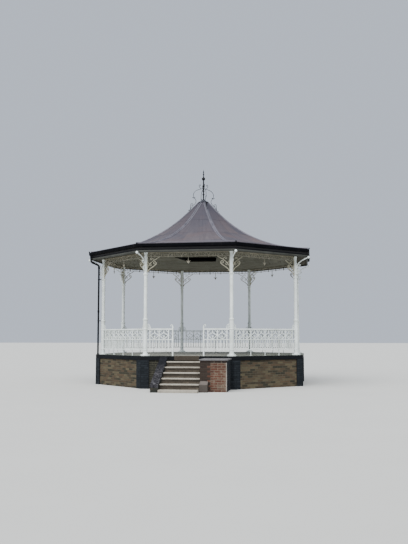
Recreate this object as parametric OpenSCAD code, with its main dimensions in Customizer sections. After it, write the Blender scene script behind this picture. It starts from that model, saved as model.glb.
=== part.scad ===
// Octagonal bandstand: brick platform with steps, eight cast columns, railings,
// openwork brackets and frieze, and a roof with flared eaves and a wrought finial.
// Origin on the ground at the centre of the octagon, steps towards -Y, millimetres.

/* [Plan] */
// Radius of the circle through the column centres
column_radius = 3800; // [3700:20:3900]
// From the column line out to the platform face, square to a side
platform_margin = 231; // [215:1:245]
// From the column line out to the face of the fascia, square to a side
eaves_reach = 409; // [380:1:430]

/* [Steps] */
// Height of one step
step_rise = 165; // [160:1:172]
// Depth of one step from nosing to nosing
step_going = 280; // [260:5:300]
// Steps between the lowest tread and the platform
step_count = 6; // [5:1:6]
// Height of the lowest tread above the ground
bottom_rise = 90; // [80:1:110]
// Left end of the treads, from the centre line
stair_left = 627; // [600:1:650]
// Right end of the treads, from the centre line
stair_right = 608; // [580:1:630]
// Thickness of a stone tread
tread_thickness = 46; // [35:1:60]
// How far a tread stands out over its riser
tread_overhang = 22; // [10:1:30]

/* [Platform] */
// Depth of the black band round the platform edge
band_depth = 140; // [120:5:160]
// Thickness of the plinth brickwork
wall_thickness = 225; // [200:5:250]
// From the column bases in to the floor slab, square to a side
kerb_clearance = 20; // [10:1:40]
// How far the brick panels sit back from the corner piers
wall_recess = 40; // [20:5:60]
// Width of a corner pier along each side
pier_width = 270; // [240:5:300]
// Left and right ends of the bare stretch of edge at the top of the steps
bare_left = 424; // [400:1:440]
// Right end of the bare stretch
bare_right = 405; // [390:1:430]

/* [Stair flanks] */
// Width of the raking wall left of the steps
cheek_width = 270; // [240:5:300]
// Thickness of its raking coping
cheek_coping = 75; // [60:5:90]
// Length of the raking wall from the platform face
cheek_length = 1601; // [1500:1:1660]
// Top of the coping at the platform, below the floor
cheek_drop = 19; // [10:1:40]
// Height of the coping's low end above the ground
cheek_low_end = 217; // [200:1:240]
// Width of the brick block right of the steps
block_width = 836; // [800:1:860]
// Length of the brick block from the platform face
block_length = 1158; // [1100:1:1200]
// Top of the block's coping, below the floor
block_drop = 62; // [50:1:80]
// Thickness of the block's flat coping
block_coping = 50; // [40:1:70]
// How far the flat coping stands out over the brickwork
coping_overhang = 35; // [20:1:45]
// Length of the low sloped stone before the block
stub_length = 230; // [200:1:260]
// Height of the sloped stone at the block
stub_high = 347; // [320:1:370]
// Height of the sloped stone at its low end
stub_low = 244; // [220:1:260]

/* [Columns] */
// Height of the columns from the floor to the beam
column_height = 3476; // [3440:1:3520]
// Diameter of the round base flange
base_d = 310; // [280:5:330]
// Thickness of the base flange
base_thickness = 28; // [20:1:40]
// Diameter below the lower collar
dado_d = 142; // [134:1:150]
// Diameter of the shaft between the collars
shaft_d = 116; // [108:1:124]
// Diameter above the upper collar
neck_d = 102; // [94:1:108]
// Height of the lower collar
lower_collar = 1216; // [1190:1:1240]
// From the upper collar up to the beam
neck_length = 741; // [720:1:760]
// Diameter of both collars
collar_d = 176; // [166:1:184]

/* [Railings] */
// Height of the railings
railing_height = 908; // [890:1:930]
// Distance between the main bars
bar_pitch = 318; // [312:1:320]
// Centre height of the middle rail
middle_rail = 539; // [520:1:560]
// Centre height of the bottom rail
bottom_rail = 197; // [180:1:215]
// Depth of the top rail on the face
top_rail_depth = 42; // [36:1:50]
// Depth of the other rails on the face
rail_depth = 28; // [22:1:34]
// Width of the main bars
main_bar = 34; // [28:1:38]
// Width of the thin bars
thin_bar = 27; // [20:1:30]
// Thickness of the bars, square to the railing
bar_thickness = 16; // [12:1:20]
// Thickness of the rails, square to the railing
rail_thickness = 36; // [28:1:44]
// Half the clear way between the two posts at the steps
entrance_half = 501; // [480:1:520]
// Height of the entrance posts
post_height = 1045; // [1020:1:1070]
// Thickness of the entrance posts
post_width = 40; // [34:1:46]
// From the last main bar at the steps to the column's ring
entrance_end_gap = 76; // [60:1:90]

/* [Brackets] */
// How far the brackets reach along a bay from the column
bracket_reach = 418; // [400:1:440]
// Height of the brackets along the column
bracket_height = 536; // [520:1:550]
// Width of the brackets' main bars on the face
bracket_bar = 27; // [22:1:30]
// Width of their thin scrolls at the tip
bracket_tip = 12; // [10:1:15]
// Thickness of the brackets
bracket_thickness = 22; // [16:1:26]
// How far the eaves brackets reach from the column to the boss
arm_reach = 421; // [418:1:440]
// Height of the eaves brackets up to the boss
arm_rise = 570; // [550:1:572]
// Diameter of the boss at the end of each eaves bracket
boss_d = 88; // [76:1:92]
// Height of the frieze under the beam
frieze_depth = 141; // [132:1:150]
// How far the pendant hangs below the frieze
pendant_drop = 265; // [240:1:280]
// Thickness of the frieze
frieze_thickness = 14; // [12:1:18]

/* [Eaves] */
// From the underside of the beam up to the ceiling boards
ceiling_lift = 20; // [14:1:40]
// Thickness of the ceiling boards
ceiling_thickness = 22; // [18:1:30]
// Width of the beam over the columns
beam_width = 130; // [110:5:150]
// From the centre out to the far edge of the open hatch in the front of the ceiling
hatch_out = 1775; // [1700:5:1850]
// Half the hatch's width at that edge
hatch_half = 780; // [770:5:800]
// Half the hatch's width at its inner edge
hatch_half_inner = 550; // [500:5:600]
// Size of the closing board at the centre of the ceiling, square to a side
centre_board = 250; // [220:5:280]
// How far the frame round the hatch hangs below the boards
frame_drop = 30; // [20:1:50]
// Thickness of that frame
frame_thickness = 45; // [35:1:60]
// From the underside of the ceiling boards up to the dark fascia
fascia_lift = 8; // [4:1:14]
// Height of the light moulding under the fascia
moulding_height = 70; // [60:1:80]
// Thickness of the fascia board
fascia_thickness = 30; // [24:1:40]
// Height of the gutter's rim above the fascia's lower edge
gutter_lift = 211; // [200:1:220]
// Height of the gutter
gutter_height = 115; // [100:1:125]
// Width of the gutter
gutter_width = 100; // [90:1:115]
// Wall of the gutter
gutter_wall = 6; // [5:1:9]
// Diameter of the knobs on the gutter's corners
knob_d = 54; // [44:1:64]

/* [Roof] */
// Pitch of the hips at the top
top_pitch = 45; // [44:0.5:46]
// Radius at which the hips begin to flare
flare_start = 600; // [500:10:700]
// Height of the hips at the cap above the roof's outer edge
roof_rise = 2036; // [2010:2:2060]
// Radius of the hips at the cap
cap_radius = 190; // [180:2:200]
// Height of the roof's outer edge above the gutter's rim
eave_lift = 25; // [20:1:35]
// Thickness of the roof boarding and its covering
roof_thickness = 36; // [28:1:45]
// Height of the rolls over the hips
roll_height = 30; // [22:1:40]
// Width of the rolls over the hips
roll_width = 56; // [46:1:70]
// Depth of the rafters under the hips
rafter_depth = 140; // [120:5:160]
// Width of the rafters under the hips
rafter_width = 70; // [50:5:90]

/* [Finial] */
// Height of the ball's centre above the top of the hips
ball_rise = 934; // [920:1:950]
// Diameter of the ball
ball_d = 134; // [120:1:150]
// From the ball's centre up to the tip
spear_length = 361; // [345:1:380]
// Diameter of its stem
stem_d = 50; // [44:1:56]
// Radius at which the scrolls stand on the hips
scroll_foot = 531; // [500:1:560]
// Radius of the scrolls at their shoulders
scroll_shoulder = 400; // [380:1:420]
// Thickness of the scrolls round the stem
scroll_thickness = 14; // [10:1:18]
// Height of the cap under the finial
cap_rise = 107; // [95:1:120]

/* [Rainwater pipe] */
// Outside diameter of the pipe
pipe_d = 66; // [58:1:74]
// How far the pipe stands out from the column's centre
pipe_out = 186; // [184:1:205]
// How far it stands to the side of the bracket, clear of the boss
pipe_aside = 74; // [73:1:82]
// How far its outlet stands out from the column's centre
pipe_outlet = 480; // [476:1:484]
// Bend radius of the swan neck
pipe_bend = 80; // [70:1:90]
// Lean of the swan neck from upright
pipe_lean = 65; // [60:1:70]
// From the gutter's underside down to the swan neck
outlet_drop = 175; // [165:1:185]

/* [Hidden] */

half_angle = 22.5;
joint = 0.4;
fit = 0.3;
joint_slip = joint / 2 / sin(half_angle);

platform_height = bottom_rise + step_count * step_rise;
column_line = column_radius * cos(half_angle);
half_bay = column_radius * sin(half_angle);
platform_face = column_line + platform_margin;
wall_face = platform_face - wall_recess;
wall_inner = wall_face - wall_thickness;
kerb_inner = column_line - base_d / 2 - kerb_clearance;
fascia_face = column_line + eaves_reach;
gutter_face = fascia_face + gutter_width;
gutter_covered = 0.45; // share of the gutter's width under the roof's edge
eave_radius = (fascia_face + gutter_width * gutter_covered) / cos(half_angle);

// Heights above the floor
upper_collar = column_height - neck_length;
ceiling_height = column_height + ceiling_lift;
fascia_bottom = ceiling_height + fascia_lift;
moulding_bottom = fascia_bottom - moulding_height;
gutter_top = fascia_bottom + gutter_lift;
eave_height = gutter_top + eave_lift;
hip_top = eave_height + roof_rise;
ball_height = hip_top + ball_rise;

// Each hip falls straight, then flares on an arc that meets the straight smoothly
flare_height = hip_top - (flare_start - cap_radius) * tan(top_pitch);
flare_chord = [eave_radius - flare_start, eave_height - flare_height];
flare_normal = [sin(top_pitch), cos(top_pitch)];
flare_arc = (flare_chord * flare_chord) / (2 * (flare_chord * flare_normal));
flare_centre = [flare_start, flare_height] + flare_arc * flare_normal;
function hip_height(r) = r < flare_start ? hip_top - (r - cap_radius) * tan(top_pitch)
    : flare_centre[1] - sqrt(flare_arc * flare_arc - pow(r - flare_centre[0], 2));

// Half the length of one side at a distance from the centre, less the joint
function half_side(a) = (a - joint_slip) * tan(half_angle);

// Flat ironwork: curves as lists of points, and the outline of a bar bent along them
function unit(v) = v / norm(v);
function tangent(path, i) = unit(path[min(i + 1, len(path) - 1)] - path[max(i - 1, 0)]);
function beside(path, i, off) = path[i] + off * [-tangent(path, i)[1], tangent(path, i)[0]];
function bar_outline(path, w1, w2) = let (n = len(path) - 1) concat(
    [for (i = [0:n]) beside(path, i, (w1 + (w2 - w1) * i / n) / 2)],
    [for (i = [n:-1:0]) beside(path, i, -(w1 + (w2 - w1) * i / n) / 2)]);
function curve(a, b, c, d, n) = [for (i = [0:n]) let (t = i / n, s = 1 - t)
    s * s * s * a + 3 * s * s * t * b + 3 * s * t * t * c + t * t * t * d];
// Spiral that leaves a point on a heading and tightens from one radius to another
function volute(p, heading, r1, r2, sweep, n) = let (hand = sign(sweep),
    centre = p + hand * r1 * [-sin(heading), cos(heading)]) [for (i = [1:n]) let (t = i / n,
    a = heading - 90 * hand + sweep * t) centre + (r1 + (r2 - r1) * t) * [cos(a), sin(a)]];
function heading(a, b) = atan2(b[1] - a[1], b[0] - a[0]);
// Bar that runs along a curve and ends in a volute
function scroll_path(a, b, c, d, n, r1, r2, sweep, m) =
    concat(curve(a, b, c, d, n), volute(d, heading(c, d), r1, r2, sweep, m));
module bent_bar(path, w1, w2) { polygon(bar_outline(path, w1, w2)); }
// The same, with its points given as shares of the casting's width and height
function sized(size, share) = [size[0] * share[0], size[1] * share[1]];
module bent_within(size, points, n, w1, w2) {
    p = [for (share = points) sized(size, share)];
    bent_bar(curve(p[0], p[1], p[2], p[3], n), w1, w2);
}
module scroll_within(size, points, n, r1, r2, sweep, m, w1, w2) {
    p = [for (share = points) sized(size, share)];
    bent_bar(scroll_path(p[0], p[1], p[2], p[3], n, r1 * size[0], r2 * size[0], sweep, m), w1, w2);
}

// A flat piece drawn upright in the plane of the front side, or of a column's radius
module upright(thickness) {
    rotate([90, 0, 0])
        linear_extrude(thickness, center = true)
            children();
}
module on_side(k) { rotate([0, 0, 45 * k]) children(); }
module at_column(k) { rotate([0, 0, 45 * k + half_angle]) translate([0, -column_radius, 0]) children(); }
module above_floor() { translate([0, 0, platform_height]) children(); }

// One mitred length of an eight-sided ring with upright faces
module side_length(inner, outer, bottom, top) {
    translate([0, 0, bottom])
        linear_extrude(top - bottom)
            polygon([[-half_side(outer), -outer], [half_side(outer), -outer],
                     [half_side(inner), -inner], [-half_side(inner), -inner]]);
}
module eight_lengths(inner, outer, bottom, top) {
    for (k = [0:7]) on_side(k) side_length(inner, outer, bottom, top);
}
// One mitred length with any outline, given as distance from the centre and height
module moulded_length(outline) {
    reach = max([for (p = outline) p[0]]) + 100;
    low = min([for (p = outline) p[1]]) - 10;
    high = max([for (p = outline) p[1]]) + 10;
    intersection() {
        rotate([90, 0, 90])
            linear_extrude(2 * reach, center = true)
                polygon([for (p = outline) [-p[0], p[1]]]);
        translate([0, 0, low])
            linear_extrude(high - low)
                polygon([[0, -joint_slip], [half_side(reach), -reach], [-half_side(reach), -reach]]);
    }
}
module octagon_slab(apothem, bottom, top) {
    translate([0, 0, bottom])
        rotate([0, 0, half_angle])
            cylinder(h = top - bottom, r = apothem / cos(half_angle), $fn = 8);
}

// Platform
wall_top = platform_height - band_depth;

module hardcore_fill() {
    color("dimgray") octagon_slab(wall_inner - fit, 0, wall_top);
}
module plinth_walls() {
    panel = platform_face * tan(half_angle) - pier_width - joint;
    color("rosybrown")
        for (k = [0:7]) on_side(k)
            translate([-panel, -wall_face, 0])
                cube([2 * panel, wall_thickness, wall_top]);
}
module corner_piers() {
    corner = [0, -platform_face / cos(half_angle)];
    back = [0, -wall_inner / cos(half_angle)];
    along = [cos(half_angle), sin(half_angle)];
    inward = [-sin(half_angle), cos(half_angle)];
    depth = platform_face - wall_inner;
    color("#2b303b")
        for (k = [0:7]) rotate([0, 0, 45 * k + half_angle])
            linear_extrude(wall_top)
                polygon([corner, corner + along * pier_width,
                         corner + along * pier_width + inward * depth, back,
                         corner + mirrored(along) * pier_width + mirrored(inward) * depth,
                         corner + mirrored(along) * pier_width]);
}
function mirrored(v) = [-v[0], v[1]];
module platform_edge() {
    color("#2b303b") {
        for (k = [1:7]) on_side(k) side_length(kerb_inner, platform_face, wall_top, platform_height);
        difference() {
            side_length(kerb_inner, platform_face, wall_top, platform_height);
            translate([-bare_left - joint, -platform_face - 1, wall_top - 1])
                cube([bare_left + bare_right + 2 * joint, platform_face, band_depth + 2]);
        }
    }
}
module platform_floor() {
    color("#9aa09a") octagon_slab(kerb_inner - joint, wall_top, platform_height);
}

// Steps: brick mass, bare top riser and stone treads, as distance out from the platform face
function tread_top(i) = platform_height - i * step_rise;
function riser_out(i) = i * step_going - tread_overhang;

module stair_base() {
    steps = [for (i = [step_count - 1:-1:1], j = [0, 1])
        [-platform_face - riser_out(i), j == 1 ? tread_top(i) - tread_thickness
            : i == step_count - 1 ? 0 : tread_top(i + 1) - tread_thickness]];
    color("#6b5a4c") {
        translate([-stair_left + joint, 0, 0])
            rotate([90, 0, 90])
                linear_extrude(stair_left + stair_right - 2 * joint)
                    polygon(concat([[-wall_face, 0]], steps,
                                   [[-wall_face, tread_top(1) - tread_thickness]]));
        translate([-bare_left, -platform_face, wall_top])
            cube([bare_left + bare_right, platform_face - kerb_inner, band_depth]);
    }
}
module step_treads() {
    color("#b9ad9c")
        for (i = [1:step_count]) {
            thickness = i == step_count ? tread_top(i) : tread_thickness;
            back = i == 1 ? -wall_face : -platform_face - riser_out(i - 1) - joint;
            front = -platform_face - i * step_going;
            translate([-stair_left + joint, front, tread_top(i) - thickness])
                cube([stair_left + stair_right - 2 * joint, back - front, thickness]);
        }
}

// Raking wall left of the steps
rake_top = platform_height - cheek_drop;
rake_fall = (rake_top - cheek_low_end) / cheek_length;
module raking(from, to, low, high, x, width) {
    translate([x, 0, 0])
        rotate([90, 0, 90])
            linear_extrude(width)
                polygon([[-platform_face - from, low(from)], [-platform_face - from, high(from)],
                         [-platform_face - to, high(to)], [-platform_face - to, low(to)]]);
}
module left_cheek_wall() {
    color("#4a4744")
        raking(0, cheek_length, function (s) 0,
               function (s) rake_top - rake_fall * s - cheek_coping,
               -stair_left - cheek_width + coping_overhang / 2, cheek_width - coping_overhang / 2);
}
module left_cheek_coping() {
    color("#45464d")
        for (part = [0, 1])
            raking(part * (cheek_length / 2 + joint), cheek_length * (part + 1) / 2,
                   function (s) rake_top - rake_fall * s - cheek_coping,
                   function (s) rake_top - rake_fall * s,
                   -stair_left - cheek_width, cheek_width);
}

// Brick block right of the steps, with a low sloped stone before it
block_top = platform_height - block_drop;
module right_block() {
    color("#8a5a48")
        translate([stair_right, -platform_face - block_length, 0])
            cube([block_width, block_length, block_top - block_coping]);
}
module right_block_coping() {
    color("#a8a39b")
        translate([stair_right - coping_overhang, -platform_face - block_length - coping_overhang,
                   block_top - block_coping])
            cube([block_width + 2 * coping_overhang, block_length + coping_overhang, block_coping]);
}
module right_stub_stone() {
    color("#9c9385")
        raking(block_length + joint, block_length + stub_length, function (s) 0,
               function (s) s < block_length + stub_length ? stub_high : stub_low,
               stair_right, cheek_width);
}

// Columns: turned castings with collars and rings
ring_out = 9;
bead = 8;
shaft_rings = [401, 175]; // below the upper collar
shaft_ring_depth = 24;
capital_out = 16;
bell = [50, 58];
bell_lip = [6, 14]; // above the bell
collar_edges = [-50, -33, -12, 10, 23, 42]; // heights about the collar's centre
capital_edges = [60, 20]; // below the beam
function ring_at(r, z, out, depth) =
    [for (a = [0:30:180]) [r + out * sin(a), z - depth / 2 * cos(a)]];
function collar_at(z, below, above) = let (
    radii = [below, below + bead, collar_d / 2, collar_d / 2, above + bead, above])
    [for (i = [0:5]) [radii[i], z + collar_edges[i]]];

module column() {
    dado = dado_d / 2;
    shaft = shaft_d / 2;
    neck = neck_d / 2;
    color("#dfe4e2")
        rotate_extrude($fn = 48)
            polygon(concat(
                [[0, 0], [base_d / 2, 0], [base_d / 2, base_thickness]],
                [for (a = [0:15:90]) [dado + bead, base_thickness] + sized(bell, [1 - sin(a), 1 - cos(a)])],
                [[dado + bead, base_thickness + bell[1] + bell_lip[0]],
                 [dado, base_thickness + bell[1] + bell_lip[1]]],
                ring_at(dado, bottom_rail, ring_out, rail_depth),
                ring_at(dado, railing_height - top_rail_depth / 2, ring_out, top_rail_depth),
                collar_at(lower_collar, dado, shaft),
                ring_at(shaft, upper_collar - shaft_rings[0], bead, shaft_ring_depth),
                ring_at(shaft, upper_collar - shaft_rings[1], bead, shaft_ring_depth),
                collar_at(upper_collar, shaft, neck),
                [[neck, column_height - capital_edges[0]],
                 [neck + capital_out, column_height - capital_edges[1]],
                 [neck + capital_out, column_height], [0, column_height]]));
}
module column_at(k) { above_floor() at_column(k) column(); }

// Railings: one bay from column to column, and the two half panels at the steps
rail_end = half_bay - dado_d / 2 - ring_out - fit;
bays = floor((rail_end - main_bar) / bar_pitch);
top_rail_bottom = railing_height - top_rail_depth;
ornament_low = middle_rail + rail_depth / 2;
scroll_bar = 16;
ornament_bar = 23;
ornament_bud = 27;
corner_size = [92, 150];
corner_post = 10;
foot_bar = 22;
foot_pad = [60, 12];

module stile(x, width, low, high) {
    translate([x - width / 2, low]) square([width, high - low]);
}
module rail(x1, x2, centre, depth) {
    translate([x1, -rail_thickness / 2, centre - depth / 2])
        cube([x2 - x1, rail_thickness, depth]);
}
// The middle rail runs on to the shaft, the others stop at the column's rings
module rails(x1, x2, reach1, reach2) {
    rail(x1, x2, railing_height - top_rail_depth / 2, top_rail_depth);
    rail(x1 - reach1, x2 + reach2, middle_rail, rail_depth);
    rail(x1, x2, bottom_rail, rail_depth);
}
// Curved diamond with a bud between two main bars
module ornament(x) {
    size = [(bar_pitch - main_bar) / 2 + 4, top_rail_bottom - ornament_low];
    bar = ornament_bar;
    bud = 0.3 * size[1];
    translate([x, ornament_low]) {
        for (side = [0, 1]) mirror([side, 0]) {
            bent_within(size, [[0, 0.88], [-0.3, 0.68], [0.6, 0.54], [1, 0.42]], 5, bar, bar);
            bent_within(size, [[0, 0.06], [0.4, 0.06], [0.6, 0.28], [1, 0.42]], 4, bar, bar);
            bent_within(size, [[1, 0.8], [0.7, 0.8], [0.55, 0.9], [0.55, 1.01]], 3, scroll_bar, scroll_bar);
        }
        translate([0, bud]) circle(r = ornament_bud, $fn = 20);
        stile(0, scroll_bar, -2, bud);
        stile(0, scroll_bar, 0.85 * size[1], size[1] + 2);
    }
}
module railing_module(x) {
    for (s = [-1, 1]) stile(x + s * bar_pitch / 6, thin_bar, bottom_rail, middle_rail);
    ornament(x);
}
module rail_foot(x) {
    stile(x, foot_bar, foot_pad[1] / 2, bottom_rail);
    stile(x, foot_pad[0], 0, foot_pad[1]);
}
// Quarter scroll that stands on the top rail against a column
module corner_scroll() {
    translate([rail_end, railing_height]) mirror([1, 0]) {
        bent_within(corner_size, [[0.06, 1], [0.65, 0.93], [1, 0.53], [1, -0.03]], 5, scroll_bar, 20);
        scroll_within(corner_size, [[0.06, 0.87], [0.13, 0.53], [0.15, 0.27], [0.37, 0.16]],
                      3, 0.26, 0.15, 230, 7, scroll_bar, 12);
        stile(corner_post / 2, corner_post, -4, corner_size[1] + 6);
    }
}
module railing_panel() {
    rails(-rail_end, rail_end, ring_out, ring_out);
    upright(bar_thickness) {
        for (i = [-bays:bays]) stile(i * bar_pitch, main_bar, bottom_rail, top_rail_bottom + 2);
        for (i = [-bays:bays - 1]) railing_module((i + 0.5) * bar_pitch);
        for (i = [-2, 0, 2]) rail_foot(i * bar_pitch);
        for (side = [0, 1]) mirror([side, 0]) corner_scroll();
    }
}
module railing_bay(k) {
    color("#e3e7e4") above_floor() on_side(k) translate([0, -column_line, 0]) railing_panel();
}
module entrance_panel() {
    post = entrance_half + post_width / 2;
    last = rail_end - entrance_end_gap;
    modules = floor((last - post) / bar_pitch);
    curl = [44, 70];
    rails(post, rail_end, 0, ring_out);
    translate([entrance_half, -post_width / 2, 0])
        cube([post_width, post_width, post_height - curl[1] + 10]);
    upright(bar_thickness) {
        for (i = [0:modules]) stile(last - i * bar_pitch, main_bar, bottom_rail, top_rail_bottom + 2);
        for (i = [1:modules]) railing_module(last - (i - 0.5) * bar_pitch);
        translate([post, post_height - curl[1] - 10])
            scroll_within(curl, [[0, 0], [0, 0.71], [0.27, 0.97], [1, 1]], 4, 0.68, 0.45, -200, 6, 24, 16);
        corner_scroll();
    }
}
module entrance_railings() {
    color("#e3e7e4") above_floor()
        for (side = [0, 1]) mirror([side, 0, 0]) translate([0, -column_line, 0]) entrance_panel();
}

// Brackets in the plane of each bay, drawn from the neck of the column and from their lowest point
bracket_start = neck_d / 2 + fit;
bracket_post = 16;
frieze_bar = 16;
frieze_low = column_height - frieze_depth;
bracket_top = frieze_low - frieze_bar / 2 - fit;
module spandrel_bracket() {
    size = [bracket_reach, bracket_height];
    thin = bracket_tip + 4;
    upright(bracket_thickness)
        translate([bracket_start, bracket_top - bracket_height]) {
            square([bracket_post, bracket_height]);
            scroll_within(size, [[0.02, 0.01], [0.1, 0.25], [0.45, 0.32], [0.71, 0.51]],
                          6, 0.15, 0.05, 400, 11, bracket_bar, bracket_tip + 2);
            bent_within(size, [[0.01, 0.27], [0.1, 0.62], [0.59, 0.775], [1, 0.982]], 7, 20, 20);
            scroll_within(size, [[0.02, 0.79], [0.05, 0.62], [0.12, 0.55], [0.235, 0.555]],
                          3, 0.105, 0.043, -330, 8, thin, bracket_tip);
            scroll_within(size, [[0.59, 0.775], [0.52, 0.83], [0.45, 0.905], [0.355, 0.925]],
                          3, 0.096, 0.043, 300, 8, thin, bracket_tip);
        }
}
module spandrel_brackets() {
    color("#d8d3c0") above_floor()
        for (k = [0:7], side = [0, 1]) on_side(k) mirror([side, 0, 0])
            translate([-half_bay, -column_line, 0]) spandrel_bracket();
}
// Bracket that stands out from each column to a boss under the gutter, in the column's radial plane
arm_lean = 17;
arm_lift = 115; // above the upper collar
arm_end = 32;
arm_bead = 50;
module eaves_bracket() {
    size = [arm_reach, arm_rise];
    thin = bracket_tip + 4;
    upright(bracket_thickness) {
        square([bracket_post, 0.7 * arm_rise]);
        scroll_within(size, [[0.016, 0.02], [0.1, 0.05], [0.2, 0.05], [0.243, 0.21]],
                      5, 0.1, 0.037, 340, 10, bracket_bar, bracket_tip);
        bent_within(size, [[0.016, 0.39], [0.05, 0.7], [0.44, 0.84], [1, 0.99]], 8, bracket_bar, arm_end);
        translate(sized(size, [0.74, 0.918])) circle(d = arm_bead, $fn = 24);
        scroll_within(size, [[0.016, 0.41], [0.13, 0.44], [0.28, 0.46], [0.34, 0.55]],
                      4, 0.08, 0.033, 330, 8, thin, bracket_tip);
    }
    translate([arm_reach, 0, 0.99 * arm_rise] + (boss_d / 2 + fit) * [cos(arm_lean), 0, sin(arm_lean)])
        sphere(d = boss_d, $fn = 32);
}
module eaves_brackets() {
    color("#d8d3c0") above_floor()
        for (k = [0:7]) at_column(k) rotate([0, 0, -90])
            translate([bracket_start, 0, upper_collar + arm_lift]) eaves_bracket();
}

// Openwork frieze under the beam, with a pendant at the middle of each bay
frieze_units = 6;
frieze_end = half_bay - neck_d / 2 - capital_out - frieze_bar / 2 - fit;
bud_d = 34;
frieze_top_bar = 26;
module frieze_scroll(x, half_unit) {
    size = [half_unit, frieze_depth];
    translate([x, frieze_low]) {
        for (side = [0, 1]) mirror([side, 0])
            scroll_within(size, [[0, 0], [0.09, 0.64], [0.35, 0.88], [0.61, 0.79]],
                          3, 0.2, 0.08, -300, 7, frieze_bar, 11);
        translate([0, -bud_d / 2]) circle(d = bud_d, $fn = 16);
    }
}
module pendant() {
    size = [80, 0.42 * pendant_drop];
    stile(0, 18, 0.3 * pendant_drop, pendant_drop);
    polygon([for (p = [[-1, 1], [-0.5, 0.62], [0, 0], [0.5, 0.62], [1, 1], [0.25, 0.86], [-0.25, 0.86]])
        sized(size, p)]);
}
module frieze_panel() {
    top = column_height - fit;
    pitch = 2 * frieze_end / frieze_units;
    upright(frieze_thickness) {
        translate([-frieze_end, top - frieze_top_bar]) square([2 * frieze_end, frieze_top_bar]);
        translate([-frieze_end, frieze_low - frieze_bar / 2]) square([2 * frieze_end, frieze_bar]);
        for (i = [0:frieze_units]) stile(i * pitch - frieze_end, frieze_bar - 2, frieze_low - 7, top - 1);
        for (i = [1:frieze_units]) frieze_scroll((i - 0.5) * pitch - frieze_end, pitch / 2);
        translate([0, frieze_low - pendant_drop]) pendant();
    }
}
module frieze_panels() {
    color("#cfcab6") above_floor()
        for (k = [0:7]) on_side(k) translate([0, -column_line, 0]) frieze_panel();
}

// Beam, ceiling and eaves
module eaves_beam() {
    top = hip_height(column_radius) - roof_thickness - rafter_depth - fit;
    color("#b8b5a8") above_floor()
        eight_lengths(column_line - beam_width / 2, column_line + beam_width / 2, column_height, top);
}
// One panel of the boarding stands open as a hatch, between the centre and the front bay
hatch_in = centre_board + joint;
hatch_slant = (hatch_half - hatch_half_inner) / (hatch_out - hatch_in);
function hatch_side(a) = hatch_half - (hatch_out - a) * hatch_slant;
// Plan of the hatch between two distances from the centre, drawn in from its sides by a clearance
module hatch_plan(near, far, clearance) {
    polygon([for (p = [[-1, far], [-1, near], [1, near], [1, far]])
        [p[0] * (hatch_side(p[1]) - clearance), -p[1]]]);
}
module hatch_side_bar(near, far) {
    polygon([for (p = [[0, far], [0, near], [frame_thickness, near], [frame_thickness, far]])
        [joint + p[0] - hatch_side(p[1]), -p[1]]]);
}
module ceiling_boards() {
    top = ceiling_height + ceiling_thickness;
    color("#c9c6b4") above_floor() {
        octagon_slab(centre_board, ceiling_height, top);
        difference() {
            eight_lengths(centre_board + joint, column_line - beam_width / 2 - joint, ceiling_height, top);
            translate([0, 0, ceiling_height - 1])
                linear_extrude(ceiling_thickness + 2)
                    hatch_plan(hatch_in - 1, hatch_out, 0);
        }
        eight_lengths(column_line + beam_width / 2 + joint, fascia_face - fascia_thickness - joint,
                      ceiling_height, top);
    }
}
// Two bars across the hatch and one along each side
module ceiling_frame() {
    near = hatch_in + frame_thickness;
    far = hatch_out - frame_thickness;
    color("#c9c6b4") above_floor()
        translate([0, 0, ceiling_height - frame_drop])
            linear_extrude(frame_drop + ceiling_thickness) {
                hatch_plan(hatch_in, near - joint, joint);
                hatch_plan(far + joint, hatch_out - joint, joint);
                for (side = [0, 1]) mirror([side, 0]) hatch_side_bar(near, far);
            }
}
module fascia_board() {
    top = hip_height(fascia_face / cos(half_angle)) - roof_thickness - fit;
    color("#3a3d45") above_floor()
        eight_lengths(fascia_face - fascia_thickness, fascia_face, fascia_bottom, top);
}
module fascia_moulding() {
    inner = fascia_face - fascia_thickness;
    hollow = [26, 40];
    lip = [4, 14];
    start = [fascia_face - lip[0], moulding_bottom + lip[1]];
    outline = concat([[inner, moulding_bottom], [start[0], moulding_bottom]],
                     [for (a = [0:30:90]) start + sized(hollow, [sin(a), 1 - cos(a)])],
                     [[start[0] + hollow[0], fascia_bottom], [inner, fascia_bottom]]);
    color("#b9bcbb") above_floor()
        for (k = [0:7]) on_side(k) moulded_length(outline);
}
module gutter() {
    bottom = gutter_top - gutter_height;
    back = fascia_face + gutter_wall;
    front = gutter_face - gutter_wall;
    chamfer = 24;
    back_drop = 34;
    outline = [[fascia_face, bottom], [gutter_face - chamfer, bottom], [gutter_face, bottom + chamfer],
               [gutter_face, gutter_top], [front, gutter_top], [front, bottom + chamfer + 2],
               [gutter_face - chamfer - 2, bottom + gutter_wall], [back, bottom + gutter_wall],
               [back, gutter_top - back_drop], [fascia_face, gutter_top - back_drop]];
    color("#23262e") above_floor()
        for (k = [0:7]) on_side(k) moulded_length(outline);
}
module gutter_knobs() {
    foot = 0.36 * knob_d;
    corner = (gutter_face - gutter_wall / 2) / cos(half_angle) - foot / 2;
    color("#1d1f24") above_floor()
        for (k = [0:7]) rotate([0, 0, 45 * k + half_angle])
            translate([0, -corner, gutter_top + fit])
                rotate_extrude($fn = 32)
                    polygon(concat([[0, 0], [foot, 0], [foot, 6]],
                                   [for (a = [-50:20:90]) knob_d / 2 * [cos(a), 0.9 + sin(a)]]));
}

// Roof
roof_steps = 14;
hip_start = cap_radius + 20;
function hip_stations(r1, r2) = concat([r1], [for (i = [0:roof_steps])
    flare_start + (r2 - flare_start) * i / roof_steps]);
// Band that follows a hip between two heights over its line
function hip_band(r1, r2, low, high, scale_r = 1) = let (stations = hip_stations(r1, r2)) concat(
    [for (r = stations) [r * scale_r, hip_height(r) + high]],
    [for (i = [len(stations) - 1:-1:0]) [stations[i] * scale_r, hip_height(stations[i]) + low]]);
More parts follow.
